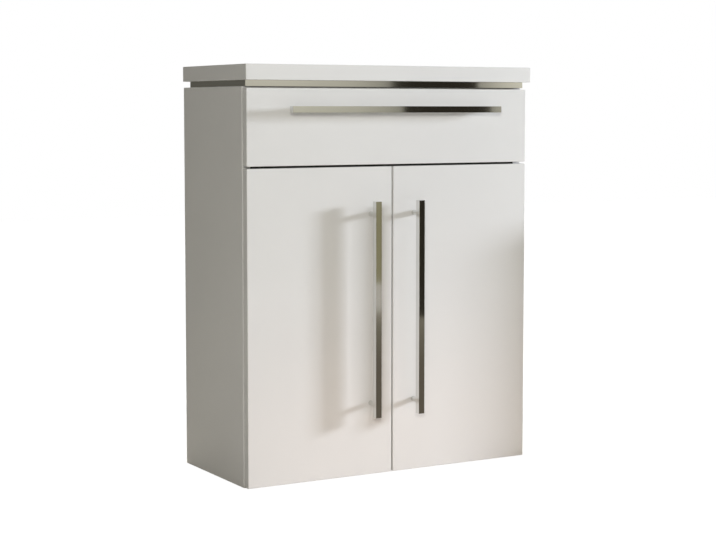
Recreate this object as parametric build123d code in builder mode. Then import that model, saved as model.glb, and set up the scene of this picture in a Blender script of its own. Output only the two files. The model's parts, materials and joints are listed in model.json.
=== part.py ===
from build123d import *
import os

os.makedirs("parts", exist_ok=True)

# A wall-hung bathroom cabinet: one drawer over two doors, with a thick top plate on a recessed trim.
# Millimetres. +X is to the right as seen from the front, the fronts face -Y, +Z is up.
# The origin is the centre of the cabinet's outer box, handles included, at the underside.

# Outer sizes of the cabinet, without the overhang of the top plate and without the handles
cabinet_width = 600
cabinet_depth = 270
cabinet_height = 760

# Boards
side_board = 16
inner_board = 16
front_board = 16
back_board = 3
edge_round = 1.0

# Gaps between the fronts and to the carcass
front_gap = 2.5
top_reveal = 3
middle_reveal = 4
centre_gap = 3.5
floor_gap = 2
drawer_front_height = 139

# Top plate on its spacer frame, with a bright trim round it
plate_thickness = 28
plate_side_overhang = 5
plate_front_overhang = 9
plate_rear_setback = 9
spacer_height = 11
spacer_width = 40
trim_thickness = 1.2
trim_front_setback = 8
trim_side_setback = 2
trim_rear_setback = 26

# Back panel in its grooves, with the hanging rail behind it
wall_space = 15
groove_depth = 7
fit_clearance = 0.1
rail_height = 70
wall_hole_radius = 4
wall_hole_spacing = 400
washer_radius = 12
washer_thickness = 2

# Square bar handles on round posts
bar_size = 12
bar_round = 0.4
handle_projection = 30
door_bar_length = 400
door_bar_drop = 63
door_bar_from_centre = 46.5
door_post_spacing = 352
drawer_bar_length = 446
drawer_bar_drop = 38
drawer_post_spacing = 400
post_radius = 5
spigot_radius = 3
spigot_length = 5
handle_screw_radius = 2
handle_screw_reach = 10
handle_screw_head_radius = 4
handle_screw_head = 2.6

# Drawer box
box_board = 12
box_floor = 4
box_floor_rise = 8
box_floor_groove = 6
box_lift = 10
box_top_gap = 11
box_rear_gap = 16
front_screw_radius = 2
front_screw_cover = 4
front_screw_head_radius = 4
front_screw_head = 2
front_screw_inset = 40
front_screw_spacing = 50

# Ball-bearing runners: cabinet member, middle member, drawer member
runner_thickness = 12.7
runner_height = 45
runner_wall = 1.2
runner_setback = 2
runner_rear_setback = 1.5
ball_gap = 0.4
cabinet_flange = 9
middle_start = 2
middle_flange = 8.8
drawer_flange = 5.5
runner_screw_radius = 1.9
runner_screw_length = 10
runner_screw_head_radius = 3.5
runner_screw_head = 1.8
runner_screw_inset = 35

# Concealed hinges, one pin each
hinge_from_end = 100
pivot_inset = 7
pivot_rise = 3.5
pin_radius = 1.2
pin_clearance = 0.1
pin_bite = 2.5
knuckle_radius = 2.2
knuckle_clearance = 0.6
arm_width = 10
arm_wall = 2.4
arm_bend = 2.6
arm_side_clearance = 1.5
arm_end_clearance = 2.6
arm_rear_setback = 3
cup_radius = 17.5
cup_edge = 3
cup_cover = 3
cup_floor = 0.8
cup_flange = 1
cup_rim_radius = 18.2
cup_wing_length = 62
cup_wing_width = 15
cup_wing_offset = 5.5
cup_screw_spacing = 48
cup_screw_offset = 6
cup_screw_radius = 1.75
cup_screw_length = 13
cup_screw_head_radius = 3.4
cup_screw_head = 1.5
hinge_plate_setback = 37
hinge_plate_length = 48
hinge_plate_width = 13
hinge_plate_wing = 3
hinge_seat = 4
hinge_seat_length = 44
hinge_screw_spacing = 32
hinge_screw_radius = 2.5
hinge_screw_length = 12
hinge_screw_head_radius = 4
hinge_screw_head = 1.6
arm_screw_radius = 2
arm_screw_bite = 3.2
arm_screw_head_radius = 3.8
arm_screw_head = 2

# Adjustable shelf on pins, in rows of holes
shelf_front_setback = 20
shelf_play = 1
shelf_row_inset = 37
shelf_hole_radius = 2.5
shelf_hole_depth = 9
shelf_hole_pitch = 32
shelf_hole_count = 9
shelf_pin_reach = 8
shelf_saddle_width = 10
shelf_saddle_height = 3

# Cam fittings and dowels that hold the carcass together
cam_radius = 7.5
cam_depth = 12.5
cam_from_end = 24
cam_slot_width = 1.4
cam_slot_length = 9
cam_slot_depth = 2
cam_front_inset = 50
cam_rear_inset = 50
bolt_radius = 3.5
bolt_thread_radius = 2.5
bolt_thread_length = 10
dowel_radius = 4
dowel_in_side = 12
dowel_in_panel = 20
dowel_from_cam = 32
rail_dowel_spacing = 40

# Screws that hold the top plate, from inside the carcass
plate_screw_radius = 2
plate_screw_head_radius = 4
plate_screw_bite = 15
plate_screw_spread = 150

# Soft bumpers on the backs of the fronts
bumper_gap = 0.3
bumper_radius = 3
bumper_inset = 12
bumper_from_top = 3.2
bumper_from_bottom = 7
drawer_bumper_inset = 20

# Planes that the pieces share
back_y = (cabinet_depth + handle_projection) / 2
front_y = back_y - cabinet_depth
front_back_y = front_y + front_board
carcass_y = front_back_y + front_gap
panel_rear_y = back_y - wall_space - back_board
half_width = cabinet_width / 2
inner_x = half_width - side_board
plate_z = cabinet_height - plate_thickness
carcass_top = plate_z - spacer_height
drawer_front_top = carcass_top - top_reveal
drawer_front_bottom = drawer_front_top - drawer_front_height
door_top = drawer_front_bottom - middle_reveal
door_bottom = floor_gap
divider_z = (drawer_front_bottom + door_top) / 2 - inner_board / 2
divider_top = divider_z + inner_board
upper_z = carcass_top - inner_board
hinge_heights = (door_bottom + hinge_from_end, door_top - hinge_from_end)
sides = (("left", -1), ("right", 1))

seated = (Align.CENTER, Align.CENTER, Align.MIN)
into_wall = (0, 1, 0)
into_room = (0, -1, 0)


def block(x, y, z, mode=Mode.ADD):
    """A box between two values on each axis."""
    with Locations(((x[0] + x[1]) / 2, (y[0] + y[1]) / 2, (z[0] + z[1]) / 2)):
        Box(abs(x[1] - x[0]), y[1] - y[0], z[1] - z[0], mode=mode)


def rod(start, direction, radius, length, mode=Mode.ADD):
    """A cylinder from a point along a direction."""
    with Locations(Plane(origin=start, z_dir=direction)):
        Cylinder(radius, length, align=seated, mode=mode)


def save(piece, name):
    """Label a finished piece and write it."""
    piece.part.label = name
    export_step(piece.part, f"parts/{name}.step")


def from_edge(side, distance):
    """X of a place that lies a distance in from the outer side of the cabinet."""
    return side * (half_width - distance)


# Places of the fittings
cam_ys = (carcass_y + cam_front_inset, panel_rear_y - cam_rear_inset)
dowel_ys = (cam_ys[0] + dowel_from_cam, cam_ys[1] - dowel_from_cam)
panel_levels = (0, divider_z, upper_z)
panel_middles = [level + inner_board / 2 for level in panel_levels]
rail_z = upper_z - rail_height / 2
rail_y = back_y - wall_space / 2
rail_dowel_zs = (rail_z - rail_dowel_spacing / 2, rail_z + rail_dowel_spacing / 2)
dowel_spots = [(y, z) for y in dowel_ys for z in panel_middles] + [(rail_y, z) for z in rail_dowel_zs]
shelf_rows = (carcass_y + shelf_row_inset, panel_rear_y - shelf_row_inset)
shelf_middle = (inner_board + divider_z) / 2
shelf_lowest = shelf_middle - (shelf_hole_count - 1) / 2 * shelf_hole_pitch
shelf_holes = [shelf_lowest + step * shelf_hole_pitch for step in range(shelf_hole_count)]
shelf_z = shelf_middle + shelf_hole_radius
hinge_plate_y = carcass_y + hinge_plate_setback
box_bottom = divider_top + box_lift
box_top = upper_z - box_top_gap
box_rear = panel_rear_y - box_rear_gap
box_half = inner_x - runner_thickness
runner_y = carcass_y + runner_setback
runner_rear_y = box_rear - runner_rear_setback
runner_z = (box_bottom + box_top) / 2
runner_screw_ys = (
    runner_y + runner_screw_inset,
    (runner_y + runner_rear_y) / 2,
    runner_rear_y - runner_screw_inset,
)

# Side panels, drilled on the inner face only
for name, side in sides:
    inward = (-side, 0, 0)
    with BuildPart() as side_panel:
        block((side * inner_x, side * half_width), (carcass_y, back_y), (0, carcass_top))
        outer_edges = side_panel.edges().filter_by(
            lambda edge: abs(abs(edge.center().X) - half_width) < fit_clearance
        )
        fillet(outer_edges, edge_round)
        block(
            (side * (inner_x + groove_depth), side * inner_x),
            (panel_rear_y - fit_clearance, panel_rear_y + back_board + fit_clearance),
            (0, carcass_top),
            Mode.SUBTRACT,
        )
        for y in cam_ys:
            for z in panel_middles:
                with Locations(Plane(origin=(side * inner_x, y, z), z_dir=inward)):
                    Hole(bolt_thread_radius + fit_clearance, bolt_thread_length + fit_clearance)
        for y, z in dowel_spots:
            with Locations(Plane(origin=(side * inner_x, y, z), z_dir=inward)):
                Hole(dowel_radius + fit_clearance, dowel_in_side + fit_clearance)
        for y in shelf_rows:
            for z in shelf_holes:
                with Locations(Plane(origin=(side * inner_x, y, z), z_dir=inward)):
                    Hole(shelf_hole_radius + fit_clearance, shelf_hole_depth)
        for height in hinge_heights:
            for z in (height - hinge_screw_spacing / 2, height + hinge_screw_spacing / 2):
                with Locations(Plane(origin=(side * inner_x, hinge_plate_y, z), z_dir=inward)):
                    Hole(hinge_screw_radius + fit_clearance, hinge_screw_length)
        for y in runner_screw_ys:
            with Locations(Plane(origin=(side * inner_x, y, runner_z), z_dir=inward)):
                Hole(runner_screw_radius + fit_clearance, runner_screw_length)
    save(side_panel, f"{name}_side_panel")


def panel_end_bores(middle, panel_face, outward):
    """Bores of one horizontal panel: cams in one face, bolts and dowels in both ends."""
    for _, side in sides:
        for y in cam_ys:
            with Locations(Plane(origin=(side * (inner_x - cam_from_end), y, panel_face), z_dir=outward)):
                Hole(cam_radius + fit_clearance, cam_depth + fit_clearance)
            with Locations(Plane(origin=(side * inner_x, y, middle), z_dir=(side, 0, 0))):
                Hole(bolt_radius + fit_clearance, cam_from_end)
        for y in dowel_ys:
            with Locations(Plane(origin=(side * inner_x, y, middle), z_dir=(side, 0, 0))):
                Hole(dowel_radius + fit_clearance, dowel_in_panel + fit_clearance)


def back_groove(low, high):
    """Groove across a panel that holds the back panel's edge."""
    block(
        (-inner_x, inner_x),
        (panel_rear_y - fit_clearance, panel_rear_y + back_board + fit_clearance),
        (low, high),
        Mode.SUBTRACT,
    )


with BuildPart() as bottom_panel:
    block((-inner_x, inner_x), (carcass_y, back_y), (0, inner_board))
    back_groove(inner_board - groove_depth, inner_board)
    panel_end_bores(inner_board / 2, 0, (0, 0, -1))
save(bottom_panel, "bottom_panel")

with BuildPart() as divider_panel:
    block((-inner_x, inner_x), (carcass_y, panel_rear_y), (divider_z, divider_top))
    panel_end_bores(divider_z + inner_board / 2, divider_z, (0, 0, -1))
save(divider_panel, "divider_panel")

# Screws of the top plate: through the upper panel and the spacers
spacer_front_y = front_y + trim_front_setback + trim_thickness
spacer_rear_y = back_y - trim_rear_setback
spacer_x = half_width - trim_side_setback - trim_thickness
spacer_inner = spacer_x - spacer_width
front_screw_y = (carcass_y + spacer_front_y + spacer_width) / 2
rear_screw_y = spacer_rear_y - spacer_width / 2
front_plate_spots = [(side * plate_screw_spread, front_screw_y) for _, side in sides]
rear_plate_spots = [(side * plate_screw_spread, rear_screw_y) for _, side in sides]
side_plate_spots = [(side * (spacer_x - spacer_width / 2), sum(dowel_ys) / 2) for _, side in sides]
plate_screw_spots = front_plate_spots + rear_plate_spots + side_plate_spots

with BuildPart() as upper_panel:
    block((-inner_x, inner_x), (carcass_y, back_y), (upper_z, carcass_top))
    back_groove(upper_z, upper_z + groove_depth)
    panel_end_bores(upper_z + inner_board / 2, carcass_top, (0, 0, 1))
    for x, y in plate_screw_spots:
        with Locations(Plane(origin=(x, y, upper_z), z_dir=(0, 0, -1))):
            CounterSinkHole(
                plate_screw_radius + fit_clearance,
                plate_screw_head_radius + fit_clearance,
                counter_sink_angle=90,
            )
save(upper_panel, "upper_panel")

wall_holes = [(side * wall_hole_spacing / 2, rail_z) for _, side in sides]
groove_reach = groove_depth - fit_clearance
with BuildPart() as back_panel:
    block(
        (-inner_x - groove_reach, inner_x + groove_reach),
        (panel_rear_y, panel_rear_y + back_board),
        (inner_board - groove_reach, upper_z + groove_reach),
    )
    for x, z in wall_holes:
        with Locations(Plane(origin=(x, panel_rear_y, z), z_dir=into_room)):
            Hole(wall_hole_radius)
save(back_panel, "back_panel")

with BuildPart() as hanging_rail:
    block((-inner_x, inner_x), (panel_rear_y + back_board, back_y), (upper_z - rail_height, upper_z))
    for x, z in wall_holes:
        with Locations(Plane(origin=(x, panel_rear_y, z), z_dir=into_room)):
            Hole(wall_hole_radius)
    for name, side in sides:
        for z in rail_dowel_zs:
            with Locations(Plane(origin=(side * inner_x, rail_y, z), z_dir=(side, 0, 0))):
                Hole(dowel_radius + fit_clearance, dowel_in_panel + fit_clearance)
save(hanging_rail, "hanging_rail")

with BuildPart() as wall_washers:
    for x, z in wall_holes:
        with BuildSketch(Plane(origin=(x, panel_rear_y, z), x_dir=(1, 0, 0), z_dir=into_room)):
            Circle(washer_radius)
            Circle(wall_hole_radius, mode=Mode.SUBTRACT)
        extrude(amount=washer_thickness)
save(wall_washers, "wall_washers")

# Cam fittings: the lock in the panel, the bolt in the side panel
cam_faces = ((0, (0, 0, 1)), (divider_z, (0, 0, 1)), (carcass_top, (0, 0, -1)))
with BuildPart() as cam_locks:
    for (face_z, inward), middle in zip(cam_faces, panel_middles):
        for name, side in sides:
            for y in cam_ys:
                cam_x = side * (inner_x - cam_from_end)
                rod((cam_x, y, face_z), inward, cam_radius, cam_depth)
                rod(
                    (side * (inner_x - cam_from_end + cam_radius), y, middle),
                    (-side, 0, 0),
                    bolt_radius + fit_clearance,
                    cam_radius + bolt_radius,
                    Mode.SUBTRACT,
                )
                slot_end = face_z + inward[2] * cam_slot_depth
                slot_z = (min(face_z, slot_end), max(face_z, slot_end))
                block(
                    (cam_x - cam_slot_length / 2, cam_x + cam_slot_length / 2),
                    (y - cam_slot_width / 2, y + cam_slot_width / 2),
                    slot_z,
                    Mode.SUBTRACT,
                )
                block(
                    (cam_x - cam_slot_width / 2, cam_x + cam_slot_width / 2),
                    (y - cam_slot_length / 2, y + cam_slot_length / 2),
                    slot_z,
                    Mode.SUBTRACT,
                )
save(cam_locks, "cam_locks")

with BuildPart() as cam_bolts:
    for name, side in sides:
        for y in cam_ys:
            for middle in panel_middles:
                rod((side * inner_x, y, middle), (side, 0, 0), bolt_thread_radius, bolt_thread_length)
                rod((side * inner_x, y, middle), (-side, 0, 0), bolt_radius, cam_from_end)
save(cam_bolts, "cam_bolts")

with BuildPart() as wood_dowels:
    for name, side in sides:
        for y, z in dowel_spots:
            rod(
                (side * (inner_x + dowel_in_side), y, z),
                (-side, 0, 0),
                dowel_radius,
                dowel_in_side + dowel_in_panel,
            )
save(wood_dowels, "wood_dowels")

# Adjustable shelf
with BuildPart() as adjustable_shelf:
    block(
        (-inner_x + shelf_play, inner_x - shelf_play),
        (carcass_y + shelf_front_setback, panel_rear_y - shelf_play),
        (shelf_z, shelf_z + inner_board),
    )
    fillet(adjustable_shelf.edges().filter_by(Axis.X).group_by(Axis.Y)[0], edge_round)
save(adjustable_shelf, "adjustable_shelf")

with BuildPart() as shelf_pins:
    for name, side in sides:
        for y in shelf_rows:
            rod(
                (side * (inner_x + shelf_hole_depth - fit_clearance), y, shelf_middle),
                (-side, 0, 0),
                shelf_hole_radius,
                shelf_hole_depth - fit_clearance + shelf_pin_reach,
            )
            block(
                (side * (inner_x - shelf_pin_reach), side * inner_x),
                (y - shelf_saddle_width / 2, y + shelf_saddle_width / 2),
                (shelf_z - shelf_saddle_height, shelf_z),
            )
save(shelf_pins, "shelf_pins")

# Spacer frame under the top plate
spacer_z = (carcass_top, plate_z)


def spacer_screw_holes(spots):
    """Clear holes for the screws of the top plate."""
    for x, y in spots:
        with Locations((x, y, plate_z)):
            Hole(plate_screw_radius + fit_clearance)


with BuildPart() as front_spacer:
    block((-spacer_x, spacer_x), (spacer_front_y, spacer_front_y + spacer_width), spacer_z)
    spacer_screw_holes(front_plate_spots)
save(front_spacer, "front_spacer")

with BuildPart() as rear_spacer:
    block((-spacer_x, spacer_x), (spacer_rear_y - spacer_width, spacer_rear_y), spacer_z)
    spacer_screw_holes(rear_plate_spots)
save(rear_spacer, "rear_spacer")

with BuildPart() as side_spacers:
    for name, side in sides:
        block(
            (side * spacer_inner, side * spacer_x),
            (spacer_front_y + spacer_width, spacer_rear_y - spacer_width),
            spacer_z,
        )
    spacer_screw_holes(side_plate_spots)
save(side_spacers, "side_spacers")

# Bright trim round the spacer frame, mitred at the front corners
trim_x = half_width - trim_side_setback
trim_front_y = front_y + trim_front_setback
with BuildPart() as front_trim:
    with BuildSketch(Plane.XY.offset(carcass_top)):
        with BuildLine():
            Polyline(
                (-trim_x, trim_front_y),
                (trim_x, trim_front_y),
                (spacer_x, spacer_front_y),
                (-spacer_x, spacer_front_y),
                close=True,
            )
        make_face()
    extrude(amount=spacer_height)
save(front_trim, "front_trim")

for name, side in sides:
    with BuildPart() as side_trim:
        with BuildSketch(Plane.XY.offset(carcass_top)):
            with BuildLine():
                Polyline(
                    (side * trim_x, trim_front_y),
                    (side * trim_x, spacer_rear_y),
                    (side * spacer_x, spacer_rear_y),
                    (side * spacer_x, spacer_front_y),
                    close=True,
                )
            make_face()
        extrude(amount=spacer_height)
    save(side_trim, f"{name}_trim")

# Top plate
plate_x = half_width + plate_side_overhang
plate_y = (front_y - plate_front_overhang, back_y - plate_rear_setback)
with BuildPart() as top_plate:
    block((-plate_x, plate_x), plate_y, (plate_z, cabinet_height))
    plate_edges = top_plate.edges() - top_plate.edges().group_by(Axis.Y)[-1]
    fillet(plate_edges, edge_round)
    for x, y in plate_screw_spots:
        with Locations(Plane(origin=(x, y, plate_z), z_dir=(0, 0, -1))):
            Hole(plate_screw_radius + fit_clearance, plate_screw_bite + fit_clearance)
save(top_plate, "top_plate")

with BuildPart() as plate_screws:
    screw_length = inner_board + spacer_height + plate_screw_bite
    for x, y in plate_screw_spots:
        with BuildSketch(Plane(origin=(x, y, upper_z), x_dir=(1, 0, 0), z_dir=into_room)):
            with BuildLine():
                Polyline(
                    (0, 0),
                    (plate_screw_head_radius, 0),
                    (plate_screw_radius, plate_screw_head_radius - plate_screw_radius),
                    (plate_screw_radius, screw_length - plate_screw_radius),
                    (0, screw_length),
                    close=True,
                )
            make_face()
        revolve(axis=Axis((x, y, 0), (0, 0, 1)))
save(plate_screws, "plate_screws")


# Square bar handles on round posts
bar_y = front_y - handle_projection
bar_back_y = bar_y + bar_size
post_length = front_y - bar_back_y


def handle_bar(spots, x, z):
    """A square bar with bores for the spigots of its posts."""
    with BuildPart() as bar:
        block(x, (bar_y, bar_back_y), z)
        fillet(bar.edges(), bar_round)
        for spot_x, spot_z in spots:
            with Locations(Plane(origin=(spot_x, bar_back_y, spot_z), z_dir=into_wall)):
                Hole(spigot_radius + fit_clearance, spigot_length + fit_clearance)
    return bar


def handle_posts(spots):
    """Round posts with a spigot for the bar and a threaded bore for the screw."""
    with BuildPart() as posts:
        for spot_x, spot_z in spots:
            rod((spot_x, front_y, spot_z), into_room, post_radius, post_length)
            rod((spot_x, bar_back_y, spot_z), into_room, spigot_radius, spigot_length)
            rod(
                (spot_x, front_y, spot_z),
                into_room,
                handle_screw_radius + fit_clearance,
                handle_screw_reach + fit_clearance,
                Mode.SUBTRACT,
            )
    return posts


def handle_screws(spots, board_y):
    """Screws from the back of the front boards into the posts."""
    with BuildPart() as screws:
        for spot_x, spot_z in spots:
            rod(
                (spot_x, board_y, spot_z),
                into_room,
                handle_screw_radius,
                board_y - front_y + handle_screw_reach,
            )
            rod((spot_x, board_y, spot_z), into_wall, handle_screw_head_radius, handle_screw_head)
        head_ends = screws.edges().filter_by(GeomType.CIRCLE).group_by(Axis.Y)[-1]
        fillet(head_ends, handle_screw_head / 2)
    return screws


def front_holes(spots, board_y):
    """Clear holes for the handle screws."""
    for spot_x, spot_z in spots:
        with Locations(Plane(origin=(spot_x, board_y, spot_z), z_dir=into_wall)):
            Hole(handle_screw_radius + fit_clearance)


# Doors, each with its handle, two hinge cups with their pins, and two bumpers
bar_top = door_top - door_bar_drop
bar_bottom = bar_top - door_bar_length
door_post_zs = (
    (bar_top + bar_bottom - door_post_spacing) / 2,
    (bar_top + bar_bottom + door_post_spacing) / 2,
)
cup_centre = cup_edge + cup_radius
cup_depth = front_board - cup_cover
cup_bottom_y = front_back_y - cup_depth
pivot_y = cup_bottom_y + pivot_rise
arm_inner_face = inner_x - hinge_seat
arm_reach = half_width - arm_inner_face + arm_wall
pocket_outer = pivot_inset - knuckle_radius - knuckle_clearance
pocket_inner = arm_reach + arm_end_clearance
pocket_width = arm_width + 2 * arm_side_clearance
pin_length = pocket_width + 2 * pin_bite
for name, side in sides:
    cup_x = from_edge(side, cup_centre)
    screw_x = from_edge(side, cup_centre + cup_screw_offset)
    pivot_x = from_edge(side, pivot_inset)
    pocket_x = (from_edge(side, pocket_outer), from_edge(side, pocket_inner))
    wing_x = from_edge(side, cup_centre + cup_wing_offset)
    cup_screw_spots = [
        (screw_x, height + step * cup_screw_spacing / 2) for height in hinge_heights for step in (-1, 1)
    ]
    post_spots = [(side * door_bar_from_centre, z) for z in door_post_zs]

    with BuildPart() as door:
        block(
            (side * centre_gap / 2, side * half_width),
            (front_y, front_back_y),
            (door_bottom, door_top),
        )
        fillet(door.edges(), edge_round)
        for height in hinge_heights:
            with Locations(Plane(origin=(cup_x, front_back_y, height), z_dir=into_wall)):
                Hole(cup_radius + fit_clearance, cup_depth + fit_clearance)
        for x, z in cup_screw_spots:
            with Locations(Plane(origin=(x, front_back_y, z), z_dir=into_wall)):
                Hole(cup_screw_radius + fit_clearance, cup_screw_length)
        front_holes(post_spots, front_back_y)
    save(door, f"{name}_door")

    save(
        handle_bar(
            post_spots,
            (side * door_bar_from_centre - bar_size / 2, side * door_bar_from_centre + bar_size / 2),
            (bar_bottom, bar_top),
        ),
        f"{name}_handle_bar",
    )
    save(handle_posts(post_spots), f"{name}_handle_posts")
    save(handle_screws(post_spots, front_back_y), f"{name}_handle_screws")

    with BuildPart() as hinge_cups:
        for height in hinge_heights:
            rod((cup_x, front_back_y, height), into_room, cup_radius, cup_depth)
            with BuildSketch(
                Plane(origin=(cup_x, front_back_y, height), x_dir=(1, 0, 0), z_dir=into_wall)
            ):
                Circle(cup_rim_radius)
                with Locations((wing_x - cup_x, 0)):
                    RectangleRounded(cup_wing_width, cup_wing_length, cup_wing_width / 3)
                with Locations((screw_x - cup_x, 0)):
                    with GridLocations(0, cup_screw_spacing, 1, 2):
                        Circle(cup_screw_radius + fit_clearance, mode=Mode.SUBTRACT)
            extrude(amount=cup_flange)
            block(
                pocket_x,
                (cup_bottom_y + cup_floor, front_back_y + cup_flange),
                (height - pocket_width / 2, height + pocket_width / 2),
                Mode.SUBTRACT,
            )
            rod(
                (pivot_x, pivot_y, height - pin_length / 2),
                (0, 0, 1),
                pin_radius,
                pin_length,
                Mode.SUBTRACT,
            )
    save(hinge_cups, f"{name}_hinge_cups")

    with BuildPart() as hinge_pins:
        for height in hinge_heights:
            rod((pivot_x, pivot_y, height - pin_length / 2), (0, 0, 1), pin_radius, pin_length)
    save(hinge_pins, f"{name}_hinge_pins")

    with BuildPart() as cup_screws:
        flange_y = front_back_y + cup_flange
        for x, z in cup_screw_spots:
            rod((x, flange_y, z), into_room, cup_screw_radius, cup_screw_length)
            rod((x, flange_y, z), into_wall, cup_screw_head_radius, cup_screw_head)
    save(cup_screws, f"{name}_cup_screws")

    with BuildPart() as bumpers:
        for z in (door_bottom + bumper_from_bottom, door_top - bumper_from_top):
            rod(
                (side * (centre_gap / 2 + bumper_inset), front_back_y, z),
                into_wall,
                bumper_radius,
                front_gap - bumper_gap,
            )
    save(bumpers, f"{name}_door_bumpers")

# Fixed halves of the hinges: mounting plates on the side panels, arms that reach into the cups
with BuildPart() as hinge_plates:
    for name, side in sides:
        seat_front = hinge_plate_y - hinge_seat_length / 2
        for height in hinge_heights:
            block(
                (side * (inner_x - hinge_plate_wing), side * inner_x),
                (hinge_plate_y - hinge_plate_width / 2, hinge_plate_y + hinge_plate_width / 2),
                (height - hinge_plate_length / 2, height + hinge_plate_length / 2),
            )
            block(
                (side * (inner_x - hinge_seat), side * inner_x),
                (seat_front, seat_front + hinge_seat_length),
                (height - hinge_plate_width / 2, height + hinge_plate_width / 2),
            )
            for step in (-1, 1):
                rod(
                    (side * inner_x, hinge_plate_y, height + step * hinge_screw_spacing / 2),
                    (-side, 0, 0),
                    hinge_screw_radius + fit_clearance,
                    hinge_plate_wing,
                    Mode.SUBTRACT,
                )
            rod(
                (side * (inner_x - hinge_seat), hinge_plate_y, height),
                (side, 0, 0),
                arm_screw_radius + fit_clearance,
                arm_screw_bite + fit_clearance,
                Mode.SUBTRACT,
            )
save(hinge_plates, "hinge_plates")

with BuildPart() as hinge_plate_screws:
    for name, side in sides:
        wing_face = side * (inner_x - hinge_plate_wing)
        for height in hinge_heights:
            for step in (-1, 1):
                z = height + step * hinge_screw_spacing / 2
                rod((wing_face, hinge_plate_y, z), (side, 0, 0), hinge_screw_radius, hinge_screw_length)
                rod((wing_face, hinge_plate_y, z), (-side, 0, 0), hinge_screw_head_radius, hinge_screw_head)
save(hinge_plate_screws, "hinge_plate_screws")

# An arm is a bent strip: a knuckle round the pin, a short leg in the cup, a long leg on the plate
arm_front_y = pivot_y - arm_wall / 2
arm_rear_y = hinge_plate_y + hinge_seat_length / 2 - arm_rear_setback
with BuildPart() as hinge_arms:
    for name, side in sides:
        pivot_x = from_edge(side, pivot_inset)
        foot_outer = side * arm_inner_face
        foot_inner = side * (arm_inner_face - arm_wall)
        for height in hinge_heights:
            with BuildSketch(Plane.XY.offset(height - arm_width / 2)):
                with BuildLine():
                    Polyline(
                        (pivot_x, arm_front_y),
                        (foot_inner, arm_front_y),
                        (foot_inner, arm_rear_y),
                        (foot_outer, arm_rear_y),
                        (foot_outer, arm_front_y + arm_wall),
                        (pivot_x, arm_front_y + arm_wall),
                        close=True,
                    )
                strip = make_face()
                outer_bend = strip.vertices().sort_by_distance((foot_inner, arm_front_y))[0]
                fillet(outer_bend, arm_bend)
                with Locations((pivot_x, pivot_y)):
                    Circle(knuckle_radius)
                    Circle(pin_radius + pin_clearance, mode=Mode.SUBTRACT)
            extrude(amount=arm_width)
            rod(
                (foot_inner, hinge_plate_y, height),
                (side, 0, 0),
                arm_screw_radius + fit_clearance,
                arm_wall,
                Mode.SUBTRACT,
            )
save(hinge_arms, "hinge_arms")

with BuildPart() as hinge_arm_screws:
    for name, side in sides:
        arm_face = side * (arm_inner_face - arm_wall)
        for height in hinge_heights:
            rod(
                (arm_face, hinge_plate_y, height),
                (side, 0, 0),
                arm_screw_radius,
                arm_wall + arm_screw_bite,
            )
            rod((arm_face, hinge_plate_y, height), (-side, 0, 0), arm_screw_head_radius, arm_screw_head)
save(hinge_arm_screws, "hinge_arm_screws")

# Drawer front and its handle
drawer_bar_z = drawer_front_top - drawer_bar_drop
drawer_post_spots = [(side * drawer_post_spacing / 2, drawer_bar_z) for _, side in sides]
box_front_y = front_back_y + box_board
front_screw_spots = [
    (side * (box_half - box_board - front_screw_inset), runner_z + step * front_screw_spacing / 2)
    for _, side in sides
    for step in (-1, 1)
]
front_bite = front_board - front_screw_cover
with BuildPart() as drawer_front:
    block((-half_width, half_width), (front_y, front_back_y), (drawer_front_bottom, drawer_front_top))
    fillet(drawer_front.edges(), edge_round)
    front_holes(drawer_post_spots, front_back_y)
    for x, z in front_screw_spots:
        with Locations(Plane(origin=(x, front_back_y, z), z_dir=into_wall)):
            Hole(front_screw_radius + fit_clearance, front_bite + fit_clearance)
save(drawer_front, "drawer_front")

save(
    handle_bar(
        drawer_post_spots,
        (-drawer_bar_length / 2, drawer_bar_length / 2),
        (drawer_bar_z - bar_size / 2, drawer_bar_z + bar_size / 2),
    ),
    "drawer_handle_bar",
)
save(handle_posts(drawer_post_spots), "drawer_handle_posts")
save(handle_screws(drawer_post_spots, box_front_y), "drawer_handle_screws")

with BuildPart() as drawer_bumpers:
    for name, side in sides:
        for z in (drawer_front_bottom + drawer_bumper_inset, drawer_front_top - drawer_bumper_inset):
            rod(
                (side * (half_width - side_board / 2), front_back_y, z),
                into_wall,
                bumper_radius,
                front_gap - bumper_gap,
            )
save(drawer_bumpers, "drawer_bumpers")

# Drawer box: sides run the full length, front and back stand between them, floor in grooves
box_inner = box_half - box_board
floor_z = box_bottom + box_floor_rise
floor_slot = (floor_z - fit_clearance, floor_z + box_floor + fit_clearance)
for name, side in sides:
    with BuildPart() as box_side:
        block((side * box_inner, side * box_half), (front_back_y, box_rear), (box_bottom, box_top))
        block(
            (side * box_inner, side * (box_inner + box_floor_groove)),
            (front_back_y, box_rear),
            floor_slot,
            Mode.SUBTRACT,
        )
        for y in runner_screw_ys:
            with Locations(Plane(origin=(side * box_half, y, runner_z), z_dir=(side, 0, 0))):
                Hole(runner_screw_radius + fit_clearance, runner_screw_length - runner_wall + fit_clearance)
    save(box_side, f"drawer_{name}_side")

with BuildPart() as box_front:
    block((-box_inner, box_inner), (front_back_y, box_front_y), (box_bottom, box_top))
    block(
        (-box_inner, box_inner),
        (box_front_y - box_floor_groove, box_front_y),
        floor_slot,
        Mode.SUBTRACT,
    )
    front_holes(drawer_post_spots, box_front_y)
    for x, z in front_screw_spots:
        with Locations(Plane(origin=(x, box_front_y, z), z_dir=into_wall)):
            Hole(front_screw_radius + fit_clearance)
save(box_front, "drawer_box_front")

with BuildPart() as box_back:
    block((-box_inner, box_inner), (box_rear - box_board, box_rear), (box_bottom, box_top))
    block(
        (-box_inner, box_inner),
        (box_rear - box_board, box_rear - box_board + box_floor_groove),
        floor_slot,
        Mode.SUBTRACT,
    )
save(box_back, "drawer_box_back")

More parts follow.
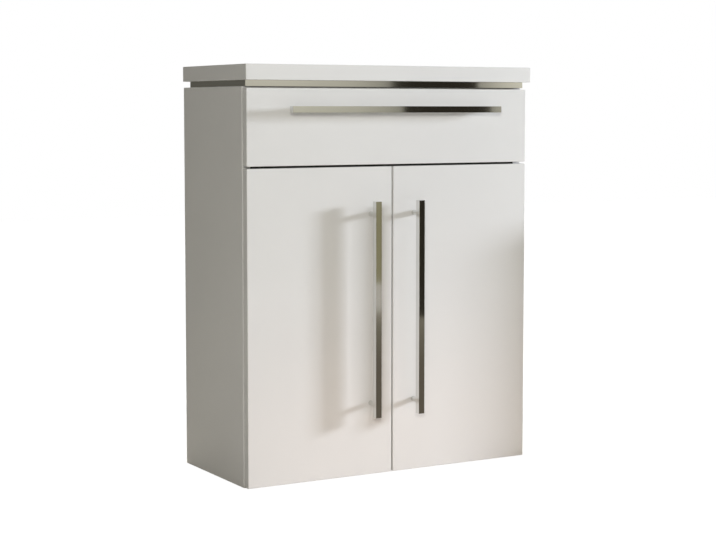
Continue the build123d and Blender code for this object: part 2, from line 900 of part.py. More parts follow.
floor_reach = box_floor_groove - fit_clearance
with BuildPart() as drawer_floor:
    block(
        (-box_inner - floor_reach, box_inner + floor_reach),
        (box_front_y - floor_reach, box_rear - box_board + floor_reach),
        (floor_z, floor_z + box_floor),
    )
save(drawer_floor, "drawer_floor")

with BuildPart() as drawer_front_screws:
    for x, z in front_screw_spots:
        rod((x, box_front_y, z), into_room, front_screw_radius, box_board + front_bite)
        rod((x, box_front_y, z), into_wall, front_screw_head_radius, front_screw_head)
save(drawer_front_screws, "drawer_front_screws")


# Runners. Across a section, u runs from the side panel towards the drawer box.
def channel(side, web, flanges, half_height):
    """One runner member: an upright web with a flange along its top and its bottom."""
    with BuildPart() as member:
        for u, z in (
            (web, (-half_height, half_height)),
            (flanges, (half_height - runner_wall, half_height)),
            (flanges, (-half_height, runner_wall - half_height)),
        ):
            block(
                (side * (inner_x - u[0]), side * (inner_x - u[1])),
                (runner_y, runner_rear_y),
                (runner_z + z[0], runner_z + z[1]),
            )
    return member


def screw_slots(member, side, u):
    """Clear holes for the runner screws through a web."""
    with member:
        for y in runner_screw_ys:
            rod(
                (side * (inner_x - u), y, runner_z),
                (-side, 0, 0),
                runner_screw_radius + fit_clearance,
                runner_wall,
                Mode.SUBTRACT,
            )


cabinet_half = runner_height / 2
middle_half = cabinet_half - runner_wall - ball_gap
drawer_half = middle_half - runner_wall - ball_gap
middle_web = middle_start + (middle_flange - runner_wall) / 2
for name, side in sides:
    cabinet_member = channel(side, (0, runner_wall), (0, cabinet_flange), cabinet_half)
    screw_slots(cabinet_member, side, 0)
    save(cabinet_member, f"{name}_runner_cabinet_member")

    middle_member = channel(
        side,
        (middle_web, middle_web + runner_wall),
        (middle_start, middle_start + middle_flange),
        middle_half,
    )
    save(middle_member, f"{name}_runner_middle_member")

    drawer_member = channel(
        side,
        (runner_thickness - runner_wall, runner_thickness),
        (runner_thickness - drawer_flange, runner_thickness),
        drawer_half,
    )
    screw_slots(drawer_member, side, runner_thickness - runner_wall)
    save(drawer_member, f"{name}_runner_drawer_member")

with BuildPart() as runner_cabinet_screws:
    for name, side in sides:
        web_face = side * (inner_x - runner_wall)
        for y in runner_screw_ys:
            rod((web_face, y, runner_z), (side, 0, 0), runner_screw_radius, runner_screw_length)
            rod((web_face, y, runner_z), (-side, 0, 0), runner_screw_head_radius, runner_screw_head)
save(runner_cabinet_screws, "runner_cabinet_screws")

with BuildPart() as runner_drawer_screws:
    for name, side in sides:
        web_face = side * (box_half + runner_wall)
        for y in runner_screw_ys:
            rod((web_face, y, runner_z), (-side, 0, 0), runner_screw_radius, runner_screw_length)
            rod((web_face, y, runner_z), (side, 0, 0), runner_screw_head_radius, runner_screw_head)
save(runner_drawer_screws, "runner_drawer_screws")
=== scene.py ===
# A wall-hung bathroom cabinet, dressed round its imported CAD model: one drawer over two doors,
# a thick top plate on a recessed bright trim, square bar handles.
import json
import math

import bmesh
import bpy
from mathutils import Matrix, Vector


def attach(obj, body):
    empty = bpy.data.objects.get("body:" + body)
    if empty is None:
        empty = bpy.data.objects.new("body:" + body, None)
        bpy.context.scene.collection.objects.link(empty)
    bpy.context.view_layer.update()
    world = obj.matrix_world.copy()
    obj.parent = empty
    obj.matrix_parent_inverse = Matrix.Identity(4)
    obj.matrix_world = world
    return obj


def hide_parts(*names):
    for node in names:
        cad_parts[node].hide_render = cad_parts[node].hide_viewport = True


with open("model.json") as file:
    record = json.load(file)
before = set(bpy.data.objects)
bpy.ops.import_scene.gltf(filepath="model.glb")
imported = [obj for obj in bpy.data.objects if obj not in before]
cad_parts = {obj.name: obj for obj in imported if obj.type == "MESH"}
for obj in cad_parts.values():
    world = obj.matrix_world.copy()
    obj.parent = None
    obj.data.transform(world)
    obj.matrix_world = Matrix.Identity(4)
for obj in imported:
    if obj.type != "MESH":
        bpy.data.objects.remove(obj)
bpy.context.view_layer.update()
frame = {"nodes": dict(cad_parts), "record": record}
nodes = frame["nodes"]
mm = 0.001
print("frame loaded:", len(nodes), "nodes")


def srgb(hexText, alpha=1.0):  # an sRGB hex colour as the linear one that nodes take
    channels = [int(hexText[i:i + 2], 16) / 255 for i in (1, 3, 5)]
    return [c / 12.92 if c <= 0.04045 else ((c + 0.055) / 1.055) ** 2.4 for c in channels] + [alpha]


def addNode(owner, kind, values=None, links=None, **settings):
    node = owner.node_tree.nodes.new(kind)
    for name, value in settings.items():
        setattr(node, name, value)
    for name, value in (values or {}).items():
        node.inputs[name].default_value = value
    for name, socket in (links or {}).items():
        owner.node_tree.links.new(socket, node.inputs[name])
    return node


def newMaterial(name, values):
    material = bpy.data.materials.new(name)
    material.use_nodes = True
    shader = material.node_tree.nodes["Principled BSDF"]
    for socket, value in values.items():
        shader.inputs[socket].default_value = value
    return material, shader


def ramp(material, factor, stops):  # colours at places along a factor
    node = addNode(material, "ShaderNodeValToRGB", links={"Fac": factor})
    elements = node.color_ramp.elements
    while len(elements) < len(stops):
        elements.new(0.5)
    for element, (place, colour) in zip(elements, stops):
        element.position = place
        element.color = colour
    return node


def link(material, socket, target):
    material.node_tree.links.new(socket, target)


cameraValues = {
    "place": (-1.5932, -2.7690, 0.6799),
    "turn": 29.839,  # degrees to the right of straight on
    "tilt": 4.5,  # degrees down
    "lens": 83.84,
    "shiftY": -0.041,
}
cameraData = bpy.data.cameras.new("camera")
cameraData.sensor_width = 36
cameraData.lens = cameraValues["lens"]
cameraData.shift_y = cameraValues["shiftY"]
camera = bpy.data.objects.new("camera", cameraData)
camera.location = cameraValues["place"]
camera.rotation_euler = (
    math.radians(90 - cameraValues["tilt"]),
    0,
    -math.radians(cameraValues["turn"]),
)
bpy.context.scene.collection.objects.link(camera)
bpy.context.scene.camera = camera
print("camera set")


def objectPlace(material):
    return addNode(material, "ShaderNodeTexCoord").outputs["Object"]


def makeGrain(material, place, scale, detail=2.0, stretch=(1, 1, 1)):
    # Noise, stretched along an axis by a small factor there.
    turned = addNode(material, "ShaderNodeMapping", {"Scale": stretch}, {"Vector": place})
    values = {"Scale": scale, "Detail": detail}
    return addNode(material, "ShaderNodeTexNoise", values, {"Vector": turned.outputs["Vector"]}).outputs["Fac"]


def makeBump(material, height, depth, strength=1.0):
    values = {"Strength": strength, "Distance": depth}
    return addNode(material, "ShaderNodeBump", values, {"Height": height}).outputs["Normal"]


def drift(material, factor, colour, places, shade):
    # A colour that drifts to a slightly darker one between two places of a factor.
    pale = srgb(colour)
    dark = [c * shade for c in pale[:3]] + [1]
    return ramp(material, factor, [(places[0], pale), (places[1], dark)]).outputs["Color"]


def makeChips(material, place, shades, size):
    # Pressed chips or fibres of about that size in metres, in mixed wood tones.
    cells = addNode(material, "ShaderNodeTexVoronoi", {"Scale": 1 / size}, {"Vector": place})
    split = addNode(material, "ShaderNodeSeparateColor", links={"Color": cells.outputs["Color"]})
    steps = [(i / (len(shades) - 1), srgb(shade)) for i, shade in enumerate(shades)]
    return ramp(material, split.outputs["Red"], steps).outputs["Color"]


chipShades = ("#A88B66", "#CFB68E", "#BFA27B", "#DFCCA9", "#C9AE88")
fibreShades = ("#8A6A4C", "#9F7D5D", "#957353", "#AA8968")
grainValues = {  # sizes in metres; scales are the noise's own, more per metre for finer grain
    "chip": 0.0028,
    "fibre": 0.0009,
    "peel": 160,
    "pearl": 900,
    "openFace": 500,
    "spangle": 500,
    "fleck": 600,
    "cloud": 1200,
    "lacquerDrift": 5,
    "melamineDrift": 8,
}
# Painted shade: near-black on the divider's front edge, for the shade in the gap between the drawer and the
# doors.
gapShadeColour = "#24221E"


def paintRaw(material, shader, faced, rawFrom, shades, size):
    # The raw core shows behind that Y, where a cut edge or a back isn't faced.
    place = objectPlace(material)
    xyz = addNode(material, "ShaderNodeSeparateXYZ", links={"Vector": place})
    rear = addNode(material, "ShaderNodeMath", {1: rawFrom}, {0: xyz.outputs["Y"]}, operation="GREATER_THAN")
    raw = makeChips(material, place, shades, size)
    links = {"Fac": rear.outputs[0], "Color1": faced, "Color2": raw}
    both = addNode(material, "ShaderNodeMixRGB", links=links)
    link(material, both.outputs[0], shader.inputs["Base Color"])


def paintGapShade(material, shader, faced, before, colour):
    # A band of another colour on a front edge, in front of that Y: painted shade, the dark of a deep gap laid on
    # as colour.
    xyz = addNode(material, "ShaderNodeSeparateXYZ", links={"Vector": objectPlace(material)})
    front = addNode(material, "ShaderNodeMath", {1: before}, {0: xyz.outputs["Y"]}, operation="LESS_THAN")
    links = {"Fac": front.outputs[0], "Color1": faced}
    both = addNode(material, "ShaderNodeMixRGB", {"Color2": srgb(colour)}, links)
    link(material, both.outputs[0], shader.inputs["Base Color"])


def makeLacquer(name, colour, roughness, coat, rawFrom=None):
    # Polyurethane lacquer sprayed on fibreboard and polished: even white with a clear shine,
    # and a faint orange peel that only shows where a reflection runs along it.
    material, shader = newMaterial(name, {
        "Roughness": roughness,
        "Coat Weight": coat,
        "Coat Roughness": 0.06,
        "Coat IOR": 1.5,
        "IOR": 1.45,
        "Specular IOR Level": 0.35,
    })
    place = objectPlace(material)
    peel = makeGrain(material, place, grainValues["peel"], 1.0)  # waves of about 6 mm
    link(material, makeBump(material, peel, 0.00006, 0.25), shader.inputs["Coat Normal"])
    tone = drift(material, makeGrain(material, place, grainValues["lacquerDrift"]), colour, (0.3, 0.7), 0.985)
    link(material, tone, shader.inputs["Base Color"])
    if rawFrom is not None:
        paintRaw(material, shader, tone, rawFrom, chipShades, grainValues["chip"])
    return material


def makeMelamine(name, colour, rawFrom=None, shades=chipShades, chip=grainValues["chip"], shadeBefore=None):
    # Melamine-faced chipboard: satin paper pressed with a fine pearl grain of about 1 mm.
    material, shader = newMaterial(name, {"Roughness": 0.42, "IOR": 1.5})
    place = objectPlace(material)
    pearl = makeGrain(material, place, grainValues["pearl"])
    link(material, makeBump(material, pearl, 0.00008, 0.35), shader.inputs["Normal"])
    tone = drift(material, makeGrain(material, place, grainValues["melamineDrift"]), colour, (0.3, 0.7), 0.97)
    link(material, tone, shader.inputs["Base Color"])
    if rawFrom is not None:
        paintRaw(material, shader, tone, rawFrom, shades, chip)
    # Painted shade: a near-black band on the front edge, for the shade in the gap in front of it.
    if shadeBefore is not None:
        paintGapShade(material, shader, tone, shadeBefore, gapShadeColour)
    return material


def makeChipboard(name, shades):
    # Chipboard with a dark stained face: small flat chips with a matt, slightly open surface.
    material, shader = newMaterial(name, {"Roughness": 0.8, "IOR": 1.5})
    place = objectPlace(material)
    link(material, makeChips(material, place, shades, grainValues["chip"]), shader.inputs["Base Color"])
    pores = makeGrain(material, place, grainValues["openFace"])
    link(material, makeBump(material, pores, 0.0001, 0.5), shader.inputs["Normal"])
    return material


def makeMetal(name, colour, rough, grain, stretch=(1, 1, 1), bump=0.0, shade=0.94):
    # A plated or polished metal: its roughness and tone drift between two levels over a grain.
    material, shader = newMaterial(name, {"Metallic": 1})
    place = objectPlace(material)
    fine = makeGrain(material, place, grain, 2.0, stretch)
    rougher = ramp(material, fine, [(0.35, [rough[0]] * 3 + [1]), (0.7, [rough[1]] * 3 + [1])])
    link(material, rougher.outputs["Color"], shader.inputs["Roughness"])
    link(material, drift(material, fine, colour, (0.35, 0.75), shade), shader.inputs["Base Color"])
    if bump:
        link(material, makeBump(material, fine, bump, 0.5), shader.inputs["Normal"])
    return material


def makeSpangle(name, colour, rough):
    # Rolled steel plated with zinc: faint crystals of about 2 mm under a satin shine.
    material, shader = newMaterial(name, {"Metallic": 1, "Roughness": rough})
    pale = srgb(colour)
    place = objectPlace(material)
    cells = addNode(material, "ShaderNodeTexVoronoi", {"Scale": grainValues["spangle"]}, {"Vector": place})
    split = addNode(material, "ShaderNodeSeparateColor", links={"Color": cells.outputs["Color"]})
    tone = ramp(material, split.outputs["Red"], [(0.0, [c * 0.86 for c in pale[:3]] + [1]), (1.0, pale)])
    link(material, tone.outputs["Color"], shader.inputs["Base Color"])
    return material


def makeBeech():
    # Fluted beech dowel: pale pink-brown with short darker flecks along the grain.
    material, shader = newMaterial("beech", {"Roughness": 0.6, "IOR": 1.5})
    place = objectPlace(material)
    tone = ramp(material, makeGrain(material, place, grainValues["fleck"], 3.0, (0.12, 1, 1)), [
        (0.35, srgb("#B98F63")),
        (0.5, srgb("#CDAA7E")),
        (0.7, srgb("#D8B98F")),
    ])
    link(material, tone.outputs["Color"], shader.inputs["Base Color"])
    return material


def makeClear():
    # Clear polyurethane dot: slightly cloudy, soft shine.
    material, shader = newMaterial("clear polyurethane", {
        "Base Color": srgb("#E8ECEA"),
        "Transmission Weight": 0.85,
        "IOR": 1.5,
    })
    cloudy = ramp(material, makeGrain(material, objectPlace(material), grainValues["cloud"]), [
        (0.3, (0.16, 0.16, 0.16, 1)),
        (0.7, (0.28, 0.28, 0.28, 1)),
    ])
    link(material, cloudy.outputs["Color"], shader.inputs["Roughness"])
    return material


boardRear = 0.1495  # cut edges that face the wall are behind this Y
panelRear = 0.1345  # and so is the raw back of the thin panel
dividerFront = -0.1012  # the divider's front edge is in front of this Y
finishes = {
    "gloss_lacquer": makeLacquer("white gloss lacquer", "#E6E6E4", 0.35, 0.5),
    "side_lacquer": makeLacquer("white lacquered board", "#E6E6E4", 0.4, 0.3, boardRear),
    "white_melamine": makeMelamine("white melamine board", "#E2E1DC", boardRear),
    "drawer_melamine": makeMelamine("white melamine drawer board", "#DEDDD8"),
    "white_fibreboard": makeMelamine(
        "white-faced fibreboard", "#DDDCD6", panelRear, fibreShades, grainValues["fibre"]
    ),
    "spacer_board": makeChipboard("stained chipboard", ("#4A453F", "#5E574F", "#534D46", "#6A6259")),
    # Bright chrome over polished zinc: a near mirror, with the faintest waves of the buffing.
    "polished_chrome": makeMetal("chrome plate", "#E1E1DF", (0.04, 0.06), 40, shade=0.985),
    # Extruded aluminium, polished along its length: almost as bright, a little softer.
    "chrome_trim": makeMetal("polished aluminium trim", "#DAD9D5", (0.04, 0.065), 60, (0.2, 0.2, 1), shade=0.98),
    # Pressed steel under nickel: warm grey, satin, with fine drawing marks.
    "nickel_steel": makeMetal("nickel-plated steel", "#BFBAB0", (0.2, 0.32), 300, bump=0.00002),
    "zinc_runner": makeSpangle("zinc-plated steel", "#B4B6B8", 0.3),
    # Headed and plated in bulk: bright, rubbed by its neighbours.
    "zinc_screw": makeMetal("bright zinc screw", "#B8B8B4", (0.22, 0.36), 900),
    # Left as it comes from the mould: dull grey with a fine tooth.
    "cast_zinc": makeMetal("cast zinc", "#8E8D8A", (0.4, 0.55), 1500, bump=0.00004),
    "beech": makeBeech(),
    "clear_bumper": makeClear(),
}
ownFinishes = {
    # A paler copy of the fronts' lacquer: painted light, which brightens the plate beyond the fronts.
    "top_plate": makeLacquer("white plate lacquer", "#E9E9E7", 0.33, 0.5),
    "hanging_rail": makeMelamine("white melamine rail", "#E0DFDA"),  # faced on both sides
    # Its front edge carries painted shade, for the dark gap over the doors.
    "divider_panel": makeMelamine("white melamine with dark edging", "#E2E1DC", shadeBefore=dividerFront),
}
slotOf = {part["node"]: part["material_slot"] for part in frame["record"]["subparts"]}
for name, slot in slotOf.items():
    nodes[name].data.materials.clear()
    nodes[name].data.materials.append(ownFinishes.get(name, finishes[slot]))
print("materials made")


bodyOf = {}
for body, members in frame["record"]["behaviour"]["bodies"].items():
    for member in members:
        bodyOf[member] = body

fastenerValues = {  # head radius, head height, shaft radius, the way the head faces, the head's shape
    "left_handle_screws": (4.0, 2.6, 2.0, "y", "pan"),
    "right_handle_screws": (4.0, 2.6, 2.0, "y", "pan"),
    "drawer_handle_screws": (4.0, 2.6, 2.0, "y", "pan"),
    "drawer_front_screws": (4.0, 2.0, 2.0, "y", "pan"),
    "left_cup_screws": (3.4, 1.5, 1.75, "y", "pan"),
    "right_cup_screws": (3.4, 1.5, 1.75, "y", "pan"),
    "runner_cabinet_screws": (3.5, 1.8, 1.9, "in", "pan"),
    "runner_drawer_screws": (3.5, 1.8, 1.9, "out", "pan"),
    "hinge_plate_screws": (4.0, 1.6, 2.5, "in", "pan"),
    "hinge_arm_screws": (3.8, 2.0, 2.0, "in", "pan"),
    "plate_screws": (4.0, 2.0, 2.0, "down", "flat"),
}
crossValues = {"armWidth": 0.9, "armLength": 4.4, "depth": 1.1, "turnSteps": 24}
bumperValues = {
    "names": ("drawer_bumpers", "left_door_bumpers", "right_door_bumpers"),
    "radius": 3.0,
    "height": 2.2,
    "turnSteps": 28,
}
meshValues = {"merge": 1e-6, "speck": 0.003, "smoothUnder": 35}  # metres, metres, degrees


def solidBoxes(node):  # the lowest and highest corners of each separate solid of a CAD node
    shape = bmesh.new()
    shape.from_mesh(nodes[node].data)
    bmesh.ops.remove_doubles(shape, verts=shape.verts, dist=meshValues["merge"])
    left = set(shape.verts)
    boxes = []
    while left:
        reached = [left.pop()]
        found = []
        while reached:
            point = reached.pop()
            found.append(point.co.copy())
            for edge in point.link_edges:
                other = edge.other_vert(point)
                if other in left:
                    left.remove(other)
                    reached.append(other)
        low = Vector([min(p[i] for p in found) for i in range(3)])
        high = Vector([max(p[i] for p in found) for i in range(3)])
        if (high - low).length > meshValues["speck"]:  # skips specks inside bores
            boxes.append((low, high))
    shape.free()
    return sorted(boxes, key=lambda box: tuple(round(v, 5) for v in box[0]))


def spinProfile(shape, points, steps):  # turns a profile of (radius, height) points round the Z axis
    profile = [shape.verts.new((radius, 0, height)) for radius, height in points]
    edges = [shape.edges.new(pair) for pair in zip(profile, profile[1:])]
    bmesh.ops.spin(
        shape,
        geom=profile + edges,
        cent=(0, 0, 0),
        axis=(0, 0, 1),
        angle=2 * math.pi,
        steps=steps,
        use_merge=True,
        use_duplicate=False,
    )
    bmesh.ops.remove_doubles(shape, verts=shape.verts, dist=meshValues["merge"])
    bmesh.ops.recalc_face_normals(shape, faces=shape.faces)


def headPoints(radius, height, kind):  # from the middle of the head's top, out and down to the neck
    if kind == "flat":
        rim = 0.2 * mm
        return [(0, 0), (radius, 0), (radius, -rim), (radius * 0.5, -radius * 0.5 - rim)]
    crown = height * 0.55
    points = [(0, 0)]
    for share in (0.45, 0.7, 0.88, 0.97):
        points.append((radius * share, -crown * (1 - math.sqrt(1 - share ** 2 * 0.96))))
    return points + [(radius, -crown), (radius, -height)]


def placeShape(shape, into, spot, facing):  # adds a shape made round Z to another, turned to face a way
    turn = Vector(facing).to_track_quat("Z", "Y").to_matrix().to_4x4()
    copy = bpy.data.meshes.new("copy")
    bmesh.ops.transform(shape, matrix=Matrix.Translation(spot) @ turn, verts=shape.verts)
    shape.to_mesh(copy)
    shape.free()
    into.from_mesh(copy)
    bpy.data.meshes.remove(copy)


def smoothOver(mesh):
    for face in mesh.polygons:
        face.use_smooth = True
    mesh.set_sharp_from_angle(angle=math.radians(meshValues["smoothUnder"]))


def pieceFrom(name, shape, material, smooth=True):
    mesh = bpy.data.meshes.new(name)
    shape.to_mesh(mesh)
    shape.free()
    mesh.materials.append(material)
    piece = bpy.data.objects.new(name, mesh)
    bpy.context.scene.collection.objects.link(piece)
    if smooth:
        smoothOver(mesh)
    return piece


def facingOf(kind, middle):
    side = 1 if middle.x > 0 else -1
    return {"y": (0, 1, 0), "in": (-side, 0, 0), "out": (side, 0, 0), "down": (0, 0, -1)}[kind]


def makeScrews(node, radius, height, shaft, way, kind):
    heads = bmesh.new()
    cuts = bmesh.new()
    for low, high in solidBoxes(node):
        middle = (low + high) / 2
        facing = Vector(facingOf(way, middle))
        reach = abs((high - low).dot(facing)) / 2
        spot = middle + facing * reach
        points = headPoints(radius * mm, height * mm, kind)
        points += [(shaft * mm, points[-1][1]), (shaft * mm, -2 * reach + shaft * mm), (0, -2 * reach)]
        screw = bmesh.new()
        spinProfile(screw, points, crossValues["turnSteps"])
        placeShape(screw, heads, spot, facing)
        for turn in (45, 135):
            arm = bmesh.new()
            bmesh.ops.create_cube(arm, size=1)
            bmesh.ops.scale(arm, verts=arm.verts, vec=(
                crossValues["armLength"] * mm * radius / 4,
                crossValues["armWidth"] * mm,
                2 * crossValues["depth"] * mm,
            ))
            turned = Matrix.Rotation(math.radians(turn), 3, "Z")
            bmesh.ops.rotate(arm, verts=arm.verts, cent=(0, 0, 0), matrix=turned)
            placeShape(arm, cuts, spot, facing)
    piece = pieceFrom(node + "_dressed", heads, finishes[slotOf[node]], smooth=False)
    cutter = pieceFrom(node + "_recess", cuts, finishes[slotOf[node]], smooth=False)
    cross = piece.modifiers.new("cross recess", "BOOLEAN")
    cross.operation = "DIFFERENCE"
    cross.solver = "EXACT"
    cross.use_self = True
    cross.object = cutter
    seen = bpy.context.evaluated_depsgraph_get()
    finished = bpy.data.meshes.new_from_object(piece.evaluated_get(seen))
    piece.modifiers.clear()
    plain = piece.data
    piece.data = finished
    bpy.data.meshes.remove(plain)
    spare = cutter.data
    bpy.data.objects.remove(cutter)
    bpy.data.meshes.remove(spare)
    smoothOver(piece.data)
    settle(piece, node)


def settle(piece, node):  # the piece joins the body of a CAD node, which is hidden in its place
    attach(piece, bodyOf[node])
    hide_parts(node)


def makeBumpers(node):
    dots = bmesh.new()
    radius, height = bumperValues["radius"] * mm, bumperValues["height"] * mm
    for low, high in solidBoxes(node):
        middle = (low + high) / 2
        points = [(0, height)]
        for share in (0.35, 0.6, 0.8, 0.93):
            points.append((radius * share, height * (0.3 + 0.7 * math.sqrt(1 - share ** 2))))
        points += [(radius, height * 0.3), (radius, 0), (0, 0)]
        dot = bmesh.new()
        spinProfile(dot, points, bumperValues["turnSteps"])
        placeShape(dot, dots, Vector((middle.x, low.y, middle.z)), (0, 1, 0))
    settle(pieceFrom(node + "_dressed", dots, finishes[slotOf[node]]), node)


for node, values in fastenerValues.items():
    makeScrews(node, *values)
for node in bumperValues["names"]:
    makeBumpers(node)
print("screws and bumpers made")


stageValues = {
    "floorSize": 14,
    "floorColour": "#E9E6DF",
    "floorShare": 0.35,  # how much of the floor's own light and shadow the camera sees
    "floorPale": (1.44, 1.54),  # its own paleness near the cabinet and further off
    "floorNear": (0.7, 1.5),  # metres between which it changes, to meet the white background
    "worldStrength": 0.115,
    "worldColour": "#FEFBF4",
    "aim": (0, -0.12, 0.4),  # where the key and the fill point
    "keyPower": 256,
    "keySize": (0.5, 0.7),
    "keyColour": "#EFF4FF",
    "keyPlace": (4.36, -1.36, 1.2),
    "fillPower": 33.5,
    "fillSize": (0.55, 0.55),
    "fillColour": "#FFFCF4",
    "fillPlace": (-1.64, -2.78, 1.25),
    "lowPower": 0.36,
    "lowSize": (0.8, 0.1),
    "lowPlace": (0.0, -0.45, 0.04),
    "lowColour": "#FFDAC6",
    "rearPower": 8.5,  # lights the back and the top, which the other lamps leave dim
    "rearSize": (0.8, 0.8),
    "rearSpread": 55,
    "rearColour": "#FFFCF6",
    "rearPlace": (1.2, 2.4, 2.2),
    "rearAim": (0, 0.1, 0.5),
    "scrimAt": 0.62,  # a net that holds the key back from the right end
    "scrimAcross": (-0.196, 0.5),
    "scrimTop": 1.3,
    "scrimPass": 0.22,
    "flagAt": 0.61,
    "flagAcross": (-0.237, -0.19),
    "flagTop": 0.5,
}
roomValues = {  # a made-up room that only the bright metal mirrors
    "glow": 0.9,
    "wallRadius": 2.65,
    "wallHeight": 2.4,
    "ringSteps": 120,
    "skirting": "#E5DFD3",
    "skirtingTop": 0.095,
    "wallLow": "#AFA884",
    "wallLowTop": 0.3,  # from here it brightens to its high colour at 1 m
    "wallHigh": "#F2F0E6",
    "around": (  # how bright the wall is, at shares of a turn from the rear left
        (0.0, 0.5), (0.1, 0.35), (0.16, 0.8), (0.22, 0.9),
        (0.225, 0.12), (0.245, 0.12),  # a doorway
        (0.25, 0.9), (0.31, 1.0), (0.325, 0.8), (0.333, 0.5), (0.35, 0.5), (0.358, 1.2), (0.42, 1.1),
        (0.44, 0.15), (0.47, 0.15),  # another
        (0.5, 0.9), (0.6, 0.9), (0.7, 0.4), (0.8, 0.17), (0.9, 0.2), (1.0, 0.5),
    ),
    "floorLift": 0.001,
    "floorReach": 3.0,
    "floorTones": ((0.5, "#696155"), (0.75, "#7C7667"), (0.9, "#9E9587")),  # shares of that reach
    "uprightRadius": 2.5,
    "uprightAngles": (-60.3, -53.8),
    "uprightColour": "#302C25",
}


def addStage(name, shape, material, glossyOnly=False):
    mesh = bpy.data.meshes.new(name)
    shape.to_mesh(mesh)
    shape.free()
    mesh.materials.append(material)
    stage = bpy.data.objects.new(name, mesh)
    bpy.context.scene.collection.objects.link(stage)
    if glossyOnly:
        stage.visible_camera = False
        stage.visible_diffuse = False
        stage.visible_transmission = False
        stage.visible_shadow = False
        stage.visible_volume_scatter = False
    return stage


def makeFloor():
    material = bpy.data.materials.new("pale studio floor")
    material.use_nodes = True
    material.node_tree.nodes.clear()
    share = stageValues["floorShare"]
    diffuse = addNode(material, "ShaderNodeBsdfDiffuse", {"Color": srgb(stageValues["floorColour"])})
    distance = addNode(material, "ShaderNodeVectorMath", links={0: objectPlace(material)}, operation="LENGTH")
    fade = addNode(material, "ShaderNodeMapRange", {
        "From Min": stageValues["floorNear"][0],
        "From Max": stageValues["floorNear"][1],
        "To Min": stageValues["floorPale"][0],
        "To Max": stageValues["floorPale"][1],
    }, {"Value": distance.outputs["Value"]})
    pale = addNode(material, "ShaderNodeEmission", {"Color": (1, 1, 1, 1)}, {"Strength": fade.outputs["Result"]})
    softened = addNode(material, "ShaderNodeMixShader", {"Fac": 1 - share})
    link(material, diffuse.outputs[0], softened.inputs[1])
    link(material, pale.outputs[0], softened.inputs[2])
    path = addNode(material, "ShaderNodeLightPath")
    choice = addNode(material, "ShaderNodeMixShader", links={"Fac": path.outputs["Is Camera Ray"]})
    link(material, diffuse.outputs[0], choice.inputs[1])
    link(material, softened.outputs[0], choice.inputs[2])
    addNode(material, "ShaderNodeOutputMaterial", links={"Surface": choice.outputs[0]})
    return material


def makeGlow(name):  # a reflected surface: its own light only, from a colour that the caller links in
    material = bpy.data.materials.new(name)
    material.use_nodes = True
    material.node_tree.nodes.clear()
    glow = addNode(material, "ShaderNodeEmission", {"Strength": roomValues["glow"]})
    addNode(material, "ShaderNodeOutputMaterial", links={"Surface": glow.outputs[0]})
    return material, glow


def roomWallMaterial():
    # A beige wall over a light skirting. It falls into shade beside the dark upright.
    material, glow = makeGlow("room wall")
    place = objectPlace(material)
    xyz = addNode(material, "ShaderNodeSeparateXYZ", links={"Vector": place})
    upward = ramp(material, xyz.outputs["Z"], [
        (0.0, srgb(roomValues["skirting"])),
        (roomValues["skirtingTop"], srgb(roomValues["skirting"])),
        (roomValues["skirtingTop"] + 0.005, srgb(roomValues["wallLow"])),
        (roomValues["wallLowTop"], srgb(roomValues["wallLow"])),
        (1.0, srgb(roomValues["wallHigh"])),
    ])
    around = addNode(material, "ShaderNodeTexGradient", links={"Vector": place}, gradient_type="RADIAL")
    steps = [(at, (value, value, value, 1)) for at, value in roomValues["around"]]
    level = ramp(material, around.outputs["Fac"], steps)
    links = {"Color1": upward.outputs["Color"], "Color2": level.outputs["Color"]}
    both = addNode(material, "ShaderNodeMixRGB", {"Fac": 1}, links, blend_type="MULTIPLY")
    link(material, both.outputs[0], glow.inputs["Color"])
    return material


def roomFloorMaterial():  # dull near the cabinet, lighter by the wall
    material, glow = makeGlow("room floor")
    place = objectPlace(material)
    distance = addNode(material, "ShaderNodeVectorMath", links={0: place}, operation="LENGTH")
    reach = {1: roomValues["floorReach"]}
    share = addNode(material, "ShaderNodeMath", reach, {0: distance.outputs["Value"]}, operation="DIVIDE")
    tone = ramp(material, share.outputs[0], [(at, srgb(colour)) for at, colour in roomValues["floorTones"]])
    link(material, tone.outputs["Color"], glow.inputs["Color"])
    return material


floorShape = bmesh.new()
bmesh.ops.create_grid(floorShape, x_segments=1, y_segments=1, size=stageValues["floorSize"] / 2)
addStage("floor", floorShape, makeFloor())

wallShape = bmesh.new()
bmesh.ops.create_circle(wallShape, segments=roomValues["ringSteps"], radius=roomValues["wallRadius"])
wallRise = bmesh.ops.extrude_edge_only(wallShape, edges=wallShape.edges[:])
bmesh.ops.translate(
    wallShape,
    verts=[v for v in wallRise["geom"] if isinstance(v, bmesh.types.BMVert)],
    vec=(0, 0, roomValues["wallHeight"]),
)
addStage("roomWall", wallShape, roomWallMaterial(), glossyOnly=True)

roomFloorShape = bmesh.new()
bmesh.ops.create_circle(
    roomFloorShape, segments=roomValues["ringSteps"], radius=roomValues["wallRadius"], cap_ends=True
)
bmesh.ops.translate(roomFloorShape, verts=roomFloorShape.verts, vec=(0, 0, roomValues["floorLift"]))
addStage("roomFloor", roomFloorShape, roomFloorMaterial(), glossyOnly=True)

uprightShape = bmesh.new()
uprightFeet = [
    uprightShape.verts.new((
        roomValues["uprightRadius"] * math.cos(math.radians(angle)),
        roomValues["uprightRadius"] * math.sin(math.radians(angle)),
        0.0,
    ))
    for angle in roomValues["uprightAngles"]
]
uprightRise = bmesh.ops.extrude_edge_only(uprightShape, edges=[uprightShape.edges.new(uprightFeet)])
bmesh.ops.translate(
    uprightShape,
    verts=[v for v in uprightRise["geom"] if isinstance(v, bmesh.types.BMVert)],
    vec=(0, 0, roomValues["wallHeight"]),
)
darkGlow, darkLight = makeGlow("dark upright")
darkLight.inputs["Color"].default_value = srgb(roomValues["uprightColour"])
addStage("darkUpright", uprightShape, darkGlow, glossyOnly=True)

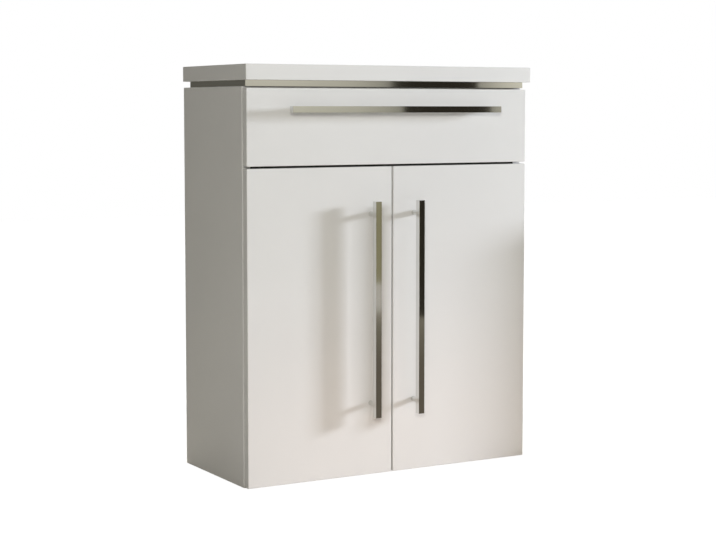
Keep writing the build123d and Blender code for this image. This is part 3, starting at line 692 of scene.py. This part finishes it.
world = bpy.data.worlds.new("studio")
bpy.context.scene.world = world
world.use_nodes = True
world.node_tree.nodes.clear()
path = addNode(world, "ShaderNodeLightPath")
seen = addNode(
    world,
    "ShaderNodeMath",
    links={0: path.outputs["Is Camera Ray"], 1: path.outputs["Is Glossy Ray"]},
    operation="MAXIMUM",
)
shown = addNode(
    world,
    "ShaderNodeMath",
    links={0: seen.outputs[0], 1: path.outputs["Is Transmission Ray"]},
    operation="MAXIMUM",
)
soft = addNode(world, "ShaderNodeBackground", {
    "Color": srgb(stageValues["worldColour"]),
    "Strength": stageValues["worldStrength"],
})
white = addNode(world, "ShaderNodeBackground", {"Color": (1, 1, 1, 1), "Strength": 1})
mixed = addNode(world, "ShaderNodeMixShader", links={"Fac": shown.outputs[0]})
link(world, soft.outputs[0], mixed.inputs[1])
link(world, white.outputs[0], mixed.inputs[2])
addNode(world, "ShaderNodeOutputWorld", links={"Surface": mixed.outputs[0]})


def addLamp(name, place, target, power, size, colour, spread):  # a soft box that no camera or mirror sees
    data = bpy.data.lights.new(name, "AREA")
    data.shape = "RECTANGLE"
    data.size, data.size_y = size
    data.spread = math.radians(spread)
    data.energy = power
    data.color = srgb(colour)[:3]
    lamp = bpy.data.objects.new(name, data)
    lamp.location = place
    lamp.rotation_euler = (Vector(place) - Vector(target)).to_track_quat("Z", "Y").to_euler()
    lamp.visible_camera = False
    lamp.visible_glossy = False
    bpy.context.scene.collection.objects.link(lamp)


lowPlace = stageValues["lowPlace"]
for name, target, spread in (
    ("key", stageValues["aim"], 180),
    ("fill", stageValues["aim"], 180),
    ("low", (lowPlace[0], 0, lowPlace[2]), 180),
    ("rear", stageValues["rearAim"], stageValues["rearSpread"]),
):
    place, power, size, colour = (stageValues[name + what] for what in ("Place", "Power", "Size", "Colour"))
    addLamp(name, place, target, power, size, colour, spread)


def addScreen(name, at, across, top, material):
    # An upright card or net between the key and the cabinet, which only shadow rays meet.
    shape = bmesh.new()
    feet = [shape.verts.new((at, y, 0.0)) for y in across]
    rise = bmesh.ops.extrude_edge_only(shape, edges=[shape.edges.new(feet)])
    risen = [v for v in rise["geom"] if isinstance(v, bmesh.types.BMVert)]
    bmesh.ops.translate(shape, verts=risen, vec=(0, 0, top))
    screen = addStage(name, shape, material)
    screen.visible_camera = False
    screen.visible_glossy = False
    screen.visible_diffuse = False
    screen.visible_transmission = False


card = newMaterial("black flag", {"Base Color": srgb("#101010"), "Roughness": 1})[0]
addScreen("flag", stageValues["flagAt"], stageValues["flagAcross"], stageValues["flagTop"], card)
net = bpy.data.materials.new("net")
net.use_nodes = True
net.node_tree.nodes.clear()
passing = addNode(net, "ShaderNodeBsdfTransparent", {"Color": [stageValues["scrimPass"]] * 3 + [1]})
addNode(net, "ShaderNodeOutputMaterial", links={"Surface": passing.outputs[0]})
addScreen("scrim", stageValues["scrimAt"], stageValues["scrimAcross"], stageValues["scrimTop"], net)

view = bpy.context.scene.view_settings
view.view_transform = "Standard"
print("stage set")
